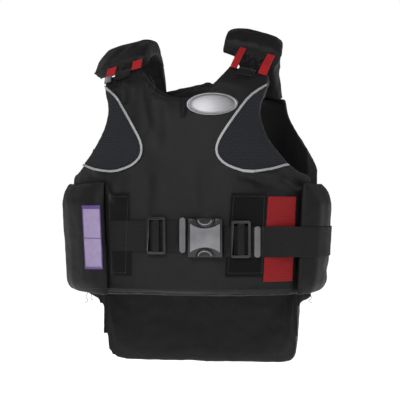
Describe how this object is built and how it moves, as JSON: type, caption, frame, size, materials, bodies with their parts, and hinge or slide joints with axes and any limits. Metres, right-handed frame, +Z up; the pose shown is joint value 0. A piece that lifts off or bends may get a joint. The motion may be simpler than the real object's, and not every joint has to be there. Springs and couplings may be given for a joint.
{
  "type": "equestrian body protector",
  "caption": "Padded riding vest in its worn form: front and back panels, overlapping side pads, elastic shoulders, waist tabs and a buckled belt.",
  "frame": {"origin": "middle of the line where the vest sits on the wearer's shoulders", "axes": "+Z up, front towards -Y, +X towards the wearer's left"},
  "size_m": [0.4313, 0.2811, 0.5504],
  "materials": {
    "nylon_shell": "plain woven nylon, dull sheen",
    "side_nylon": "plain woven nylon, dull",
    "mesh_fabric": "knitted spacer mesh",
    "hook_fabric": "hook-and-loop pile",
    "red_elastic": "ribbed elastic webbing",
    "webbing": "ribbed polyester webbing",
    "reflective_piping": "glass-bead reflective cloth",
    "label_cloth": "satin woven label, bare",
    "black_plastic": "moulded acetal, satin",
    "grey_plastic": "moulded acetal, satin",
    "brushed_badge": "brushed, bare"
  },
  "bodies": {
    "root": {"back_panel": "nylon_shell", "badge": "brushed_badge", "belt_bar_left": "grey_plastic", "belt_bar_right": "grey_plastic", "belt_left": "webbing", "belt_right": "webbing", "buckle_plate": "grey_plastic", "buckle_prong_lower": "black_plastic", "buckle_prong_upper": "black_plastic", "buckle_socket": "black_plastic", "front_panel": "nylon_shell", "mesh_inset_left": "mesh_fabric", "mesh_inset_right": "mesh_fabric", "piping_left": "reflective_piping", "piping_right": "reflective_piping", "shoulder_elastic_left_inner": "red_elastic", "shoulder_elastic_left_outer": "red_elastic", "shoulder_elastic_right_inner": "red_elastic", "shoulder_elastic_right_outer": "red_elastic", "shoulder_keeper_right": "grey_plastic", "shoulder_pad_left": "nylon_shell", "shoulder_pad_right": "nylon_shell", "shoulder_tab_left": "hook_fabric", "shoulder_tab_right": "hook_fabric", "side_label": "label_cloth", "side_panel_left": "side_nylon", "side_panel_right": "side_nylon", "slider_left": "black_plastic", "slider_right": "black_plastic", "slider_webbing_left": "webbing", "slider_webbing_right": "webbing", "waist_elastic_left": "red_elastic", "waist_tab_left": "hook_fabric", "waist_tab_right": "hook_fabric"}
  },
  "joints": []
}
